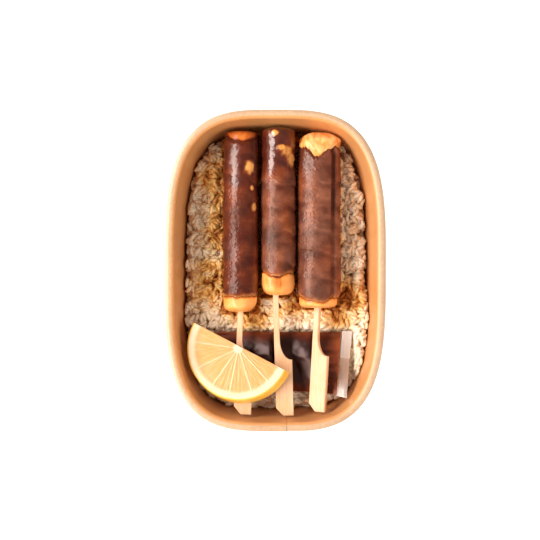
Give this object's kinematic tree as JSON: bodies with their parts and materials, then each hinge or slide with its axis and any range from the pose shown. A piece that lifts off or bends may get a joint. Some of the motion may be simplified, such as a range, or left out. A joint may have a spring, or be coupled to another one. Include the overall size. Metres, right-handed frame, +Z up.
{
  "type": "bento box meal",
  "caption": "Oblong paper tub with a rolled rim, filled with rice, skewers of cheese wrapped in glazed beef, a half slice of lemon and a sachet of sauce.",
  "frame": {"origin": "on the table under the tub's middle", "axes": "+Z up; +Y along the tub's length, from the sticks' handles to the skewers' far ends; +X to the right seen from above with +Y away"},
  "size_m": [0.118, 0.172, 0.05],
  "materials": {
    "kraft_paper": "satin",
    "cooked_rice": "satin",
    "grilled_cheese": "satin",
    "glazed_beef": "gloss",
    "bamboo": "satin",
    "sauce_in_film": "gloss",
    "lemon": "satin"
  },
  "bodies": {
    "root": {"box_wall": "kraft_paper", "box_base": "kraft_paper", "rice": "cooked_rice", "core_left": "grilled_cheese", "core_middle": "grilled_cheese", "core_right": "grilled_cheese", "beef_left": "glazed_beef", "beef_middle": "glazed_beef", "beef_right": "glazed_beef", "stick_left": "bamboo", "stick_middle": "bamboo", "stick_right": "bamboo", "sachet": "sauce_in_film", "lemon": "lemon"}
  },
  "joints": []
}
